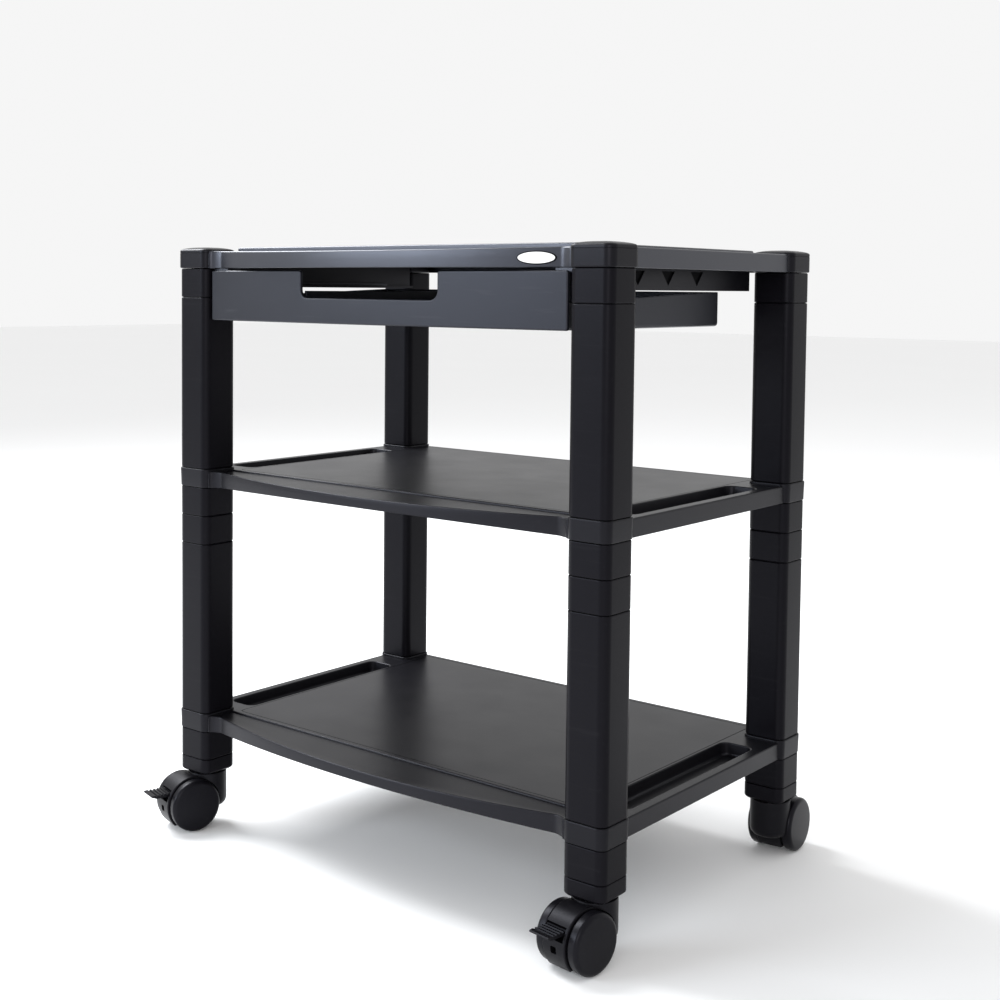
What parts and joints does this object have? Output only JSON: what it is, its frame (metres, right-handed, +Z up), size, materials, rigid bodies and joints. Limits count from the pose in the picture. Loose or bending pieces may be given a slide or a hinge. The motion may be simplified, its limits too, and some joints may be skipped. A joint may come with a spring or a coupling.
{
  "type": "mobile printer stand",
  "caption": "Black moulded stand on swivel casters: a flat top deck with a slide-out drawer under it and open shelves with pen troughs below.",
  "frame": {"origin": "on the floor, under the centre of the bounding box", "axes": "+Z up, the front with the drawer faces -Y, +X to the right seen from the front"},
  "size_m": [0.5202, 0.4094, 0.5711],
  "materials": {
    "leg_plastic": "satin moulded plastic",
    "shelf_plastic": "fine-grained moulded plastic",
    "drawer_plastic": "fine-grained moulded plastic",
    "caster_plastic": "satin moulded nylon",
    "wheel_plastic": "smooth nylon",
    "steel": "zinc-plated steel",
    "badge": "glossy white plate"
  },
  "bodies": {
    "frame": {"foot_socket_front_left": "leg_plastic", "bottom_spacer_front_left": "leg_plastic", "lower_tube_front_left": "leg_plastic", "lower_spacer_front_left": "leg_plastic", "middle_spacer_front_left": "leg_plastic", "upper_tube_front_left": "leg_plastic", "top_spacer_front_left": "leg_plastic", "foot_socket_front_right": "leg_plastic", "bottom_spacer_front_right": "leg_plastic", "lower_tube_front_right": "leg_plastic", "lower_spacer_front_right": "leg_plastic", "middle_spacer_front_right": "leg_plastic", "upper_tube_front_right": "leg_plastic", "top_spacer_front_right": "leg_plastic", "foot_socket_rear_left": "leg_plastic", "bottom_spacer_rear_left": "leg_plastic", "lower_tube_rear_left": "leg_plastic", "lower_spacer_rear_left": "leg_plastic", "middle_spacer_rear_left": "leg_plastic", "upper_tube_rear_left": "leg_plastic", "top_spacer_rear_left": "leg_plastic", "foot_socket_rear_right": "leg_plastic", "bottom_spacer_rear_right": "leg_plastic", "lower_tube_rear_right": "leg_plastic", "lower_spacer_rear_right": "leg_plastic", "middle_spacer_rear_right": "leg_plastic", "upper_tube_rear_right": "leg_plastic", "top_spacer_rear_right": "leg_plastic", "bottom_shelf": "shelf_plastic", "middle_shelf": "shelf_plastic", "top_shelf": "shelf_plastic", "drawer_rail_left": "shelf_plastic", "drawer_rail_right": "shelf_plastic", "badge_plate": "badge"},
    "drawer": {"drawer": "drawer_plastic"},
    "caster_front_left": {"caster_hood_front_left": "caster_plastic", "caster_stem_front_left": "steel", "caster_axle_front_left": "steel"},
    "wheel_a_front_left": {"wheel_a_front_left": "wheel_plastic"},
    "wheel_b_front_left": {"wheel_b_front_left": "wheel_plastic"},
    "brake_lever_front_left": {"brake_lever_front_left": "caster_plastic"},
    "caster_front_right": {"caster_hood_front_right": "caster_plastic", "caster_stem_front_right": "steel", "caster_axle_front_right": "steel"},
    "wheel_a_front_right": {"wheel_a_front_right": "wheel_plastic"},
    "wheel_b_front_right": {"wheel_b_front_right": "wheel_plastic"},
    "brake_lever_front_right": {"brake_lever_front_right": "caster_plastic"},
    "caster_rear_left": {"caster_hood_rear_left": "caster_plastic", "caster_stem_rear_left": "steel", "caster_axle_rear_left": "steel"},
    "wheel_a_rear_left": {"wheel_a_rear_left": "wheel_plastic"},
    "wheel_b_rear_left": {"wheel_b_rear_left": "wheel_plastic"},
    "caster_rear_right": {"caster_hood_rear_right": "caster_plastic", "caster_stem_rear_right": "steel", "caster_axle_rear_right": "steel"},
    "wheel_a_rear_right": {"wheel_a_rear_right": "wheel_plastic"},
    "wheel_b_rear_right": {"wheel_b_rear_right": "wheel_plastic"}
  },
  "joints": [
    {"name": "drawer_slide", "type": "slide", "parent": "frame", "child": "drawer", "axis": [0, -1, 0], "range_m": [0, 0.15]},
    {"name": "swivel_front_left", "type": "hinge", "parent": "frame", "child": "caster_front_left", "pos_m": [-0.22645, -0.14108, 0.0532], "axis": [0, 0, 1], "continuous": true},
    {"name": "spin_a_front_left", "type": "hinge", "parent": "caster_front_left", "child": "wheel_a_front_left", "pos_m": [-0.23224, -0.16127, 0.025], "axis": [0.9613, -0.2756, 0], "continuous": true},
    {"name": "spin_b_front_left", "type": "hinge", "parent": "caster_front_left", "child": "wheel_b_front_left", "pos_m": [-0.23224, -0.16127, 0.025], "axis": [0.9613, -0.2756, 0], "continuous": true},
    {"name": "brake_front_left", "type": "hinge", "parent": "caster_front_left", "child": "brake_lever_front_left", "pos_m": [-0.23821, -0.17771, 0.03722], "axis": [0.9613, -0.2756, 0], "range_deg": [0, 15]},
    {"name": "swivel_front_right", "type": "hinge", "parent": "frame", "child": "caster_front_right", "pos_m": [0.23755, -0.14108, 0.0532], "axis": [0, 0, 1], "continuous": true},
    {"name": "spin_a_front_right", "type": "hinge", "parent": "caster_front_right", "child": "wheel_a_front_right", "pos_m": [0.23462, -0.16188, 0.025], "axis": [0.9903, -0.1392, 0], "continuous": true},
    {"name": "spin_b_front_right", "type": "hinge", "parent": "caster_front_right", "child": "wheel_b_front_right", "pos_m": [0.23462, -0.16188, 0.025], "axis": [0.9903, -0.1392, 0], "continuous": true},
    {"name": "brake_front_right", "type": "hinge", "parent": "caster_front_right", "child": "brake_lever_front_right", "pos_m": [0.23101, -0.17899, 0.03722], "axis": [0.9903, -0.1392, 0], "range_deg": [0, 15]},
    {"name": "swivel_rear_left", "type": "hinge", "parent": "frame", "child": "caster_rear_left", "pos_m": [-0.22645, 0.15552, 0.0532], "axis": [0, 0, 1], "continuous": true},
    {"name": "spin_a_rear_left", "type": "hinge", "parent": "caster_rear_left", "child": "wheel_a_rear_left", "pos_m": [-0.22353, 0.17631, 0.025], "axis": [-0.9903, 0.1392, 0], "continuous": true},
    {"name": "spin_b_rear_left", "type": "hinge", "parent": "caster_rear_left", "child": "wheel_b_rear_left", "pos_m": [-0.22353, 0.17631, 0.025], "axis": [-0.9903, 0.1392, 0], "continuous": true},
    {"name": "swivel_rear_right", "type": "hinge", "parent": "frame", "child": "caster_rear_right", "pos_m": [0.23755, 0.15552, 0.0532], "axis": [0, 0, 1], "continuous": true},
    {"name": "spin_a_rear_right", "type": "hinge", "parent": "caster_rear_right", "child": "wheel_a_rear_right", "pos_m": [0.23645, 0.17649, 0.025], "axis": [-0.9986, -0.0523, 0], "continuous": true},
    {"name": "spin_b_rear_right", "type": "hinge", "parent": "caster_rear_right", "child": "wheel_b_rear_right", "pos_m": [0.23645, 0.17649, 0.025], "axis": [-0.9986, -0.0523, 0], "continuous": true}
  ]
}
